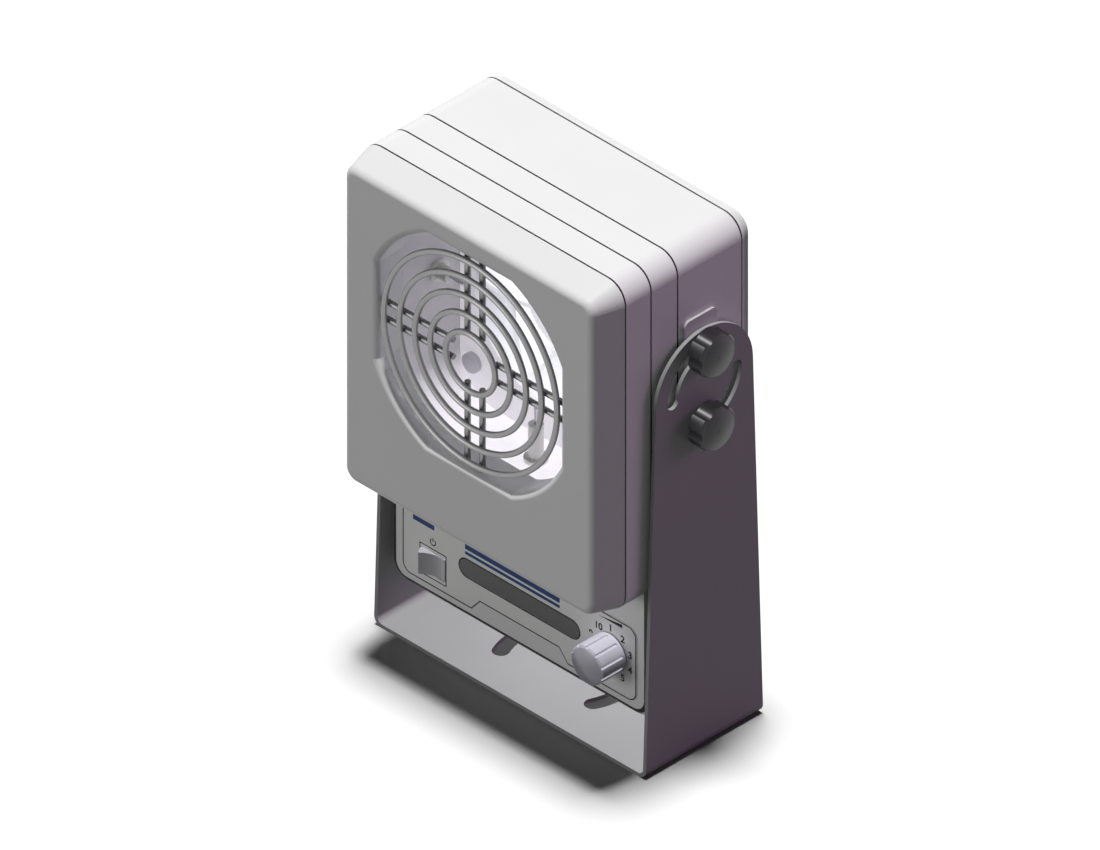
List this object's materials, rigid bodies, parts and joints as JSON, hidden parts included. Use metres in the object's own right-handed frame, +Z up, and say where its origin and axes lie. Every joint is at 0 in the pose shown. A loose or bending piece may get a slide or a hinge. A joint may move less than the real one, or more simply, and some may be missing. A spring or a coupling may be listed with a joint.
{
  "type": "ionizing blower",
  "caption": "Benchtop ionizing air blower: fan housing with round wire guard, control panel, rocker switch and speed knob, tilting in a U bracket with clamp knobs.",
  "frame": {"origin": "middle of the underside of the bracket's base, on the surface that it stands on", "axes": "+Z up, +X to the right seen from the front, the air outlet and control panel face -Y"},
  "size_m": [0.1282, 0.0675, 0.1825],
  "materials": {
    "bracket_sheet": "satin grey coat",
    "shell_plastic": "fine moulded texture",
    "guard_wire": "bright drawn wire",
    "duct_plastic": "smooth moulded",
    "fan_plastic": "smooth moulded",
    "impeller_plastic": "smooth moulded",
    "filter_foam": "open foam",
    "motor_winding": "enamelled copper on laminations",
    "bright_steel": "ground",
    "screw_steel": "zinc plated",
    "holder_plastic": "smooth",
    "potting": "cast resin in a case",
    "circuit_board": "solder mask",
    "board_black": "moulded parts",
    "lamp_lens": "tinted",
    "film": "printed satin film",
    "window_smoke": "smoked",
    "black_plastic": "moulded",
    "rocker_plastic": "smooth",
    "clamp_knob_plastic": "fine moulded texture",
    "speed_knob_metal": "satin anodised",
    "pad_rubber": "matt",
    "insert_brass": "turned",
    "magnet": "dull"
  },
  "bodies": {
    "bracket": {"bracket": "bracket_sheet"},
    "housing": {"front_cover": "shell_plastic", "head_collar": "shell_plastic", "front_case": "shell_plastic", "rear_case": "shell_plastic", "rear_panel": "shell_plastic", "air_filter": "filter_foam", "wire_guard": "guard_wire", "air_duct": "duct_plastic", "fan_frame": "fan_plastic", "fan_stator": "motor_winding", "fan_bearings": "bright_steel", "fan_screws": "screw_steel", "emitter_holders": "holder_plastic", "emitter_needles": "bright_steel", "high_voltage_module": "potting", "control_board": "circuit_board", "board_parts": "board_black", "board_screws": "screw_steel", "status_lamps": "lamp_lens", "panel_film": "film", "lamp_window": "window_smoke", "switch_body": "black_plastic", "speed_control": "screw_steel", "speed_control_nut": "screw_steel", "dc_inlet": "black_plastic", "dc_inlet_nut": "screw_steel", "ground_screw": "screw_steel", "ground_washer": "screw_steel", "case_screws": "screw_steel", "side_pad_right": "pad_rubber", "side_pad_left": "pad_rubber", "clamp_inserts_right": "insert_brass", "clamp_inserts_left": "insert_brass"},
    "impeller": {"impeller": "impeller_plastic", "impeller_shaft": "bright_steel", "rotor_magnet": "magnet"},
    "power_rocker": {"power_rocker": "rocker_plastic"},
    "speed_knob": {"speed_knob": "speed_knob_metal", "speed_shaft": "bright_steel"},
    "clamp_right_upper": {"clamp_knob_right_upper": "clamp_knob_plastic", "clamp_stud_right_upper": "bright_steel", "clamp_washer_right_upper": "screw_steel"},
    "clamp_right_lower": {"clamp_knob_right_lower": "clamp_knob_plastic", "clamp_stud_right_lower": "bright_steel", "clamp_washer_right_lower": "screw_steel"},
    "clamp_left_upper": {"clamp_knob_left_upper": "clamp_knob_plastic", "clamp_stud_left_upper": "bright_steel", "clamp_washer_left_upper": "screw_steel"},
    "clamp_left_lower": {"clamp_knob_left_lower": "clamp_knob_plastic", "clamp_stud_left_lower": "bright_steel", "clamp_washer_left_lower": "screw_steel"}
  },
  "joints": [
    {"name": "tilt", "type": "hinge", "parent": "bracket", "child": "housing", "pos_m": [0, 0, 0.1324], "axis": [1, 0, 0], "range_deg": [0, 90]},
    {"name": "fan_spin", "type": "hinge", "parent": "housing", "child": "impeller", "pos_m": [0, 0, 0.1324], "axis": [0, 1, 0], "continuous": true},
    {"name": "power_switch", "type": "hinge", "parent": "housing", "child": "power_rocker", "pos_m": [-0.0367, -0.0193, 0.0302], "axis": [0, 0, -1], "range_deg": [0, 34]},
    {"name": "speed_turn", "type": "hinge", "parent": "housing", "child": "speed_knob", "pos_m": [0.0385, -0.0205, 0.0356], "axis": [0, 1, 0], "range_deg": [0, 324]},
    {"name": "clamp_turn_right_upper", "type": "hinge", "parent": "housing", "child": "clamp_right_upper", "pos_m": [0.0575, 0, 0.1458], "axis": [1, 0, 0], "range_deg": [0, 180]},
    {"name": "clamp_turn_right_lower", "type": "hinge", "parent": "housing", "child": "clamp_right_lower", "pos_m": [0.0575, 0, 0.119], "axis": [1, 0, 0], "range_deg": [0, 180]},
    {"name": "clamp_turn_left_upper", "type": "hinge", "parent": "housing", "child": "clamp_left_upper", "pos_m": [-0.0575, 0, 0.1458], "axis": [-1, 0, 0], "range_deg": [0, 180]},
    {"name": "clamp_turn_left_lower", "type": "hinge", "parent": "housing", "child": "clamp_left_lower", "pos_m": [-0.0575, 0, 0.119], "axis": [-1, 0, 0], "range_deg": [0, 180]}
  ]
}
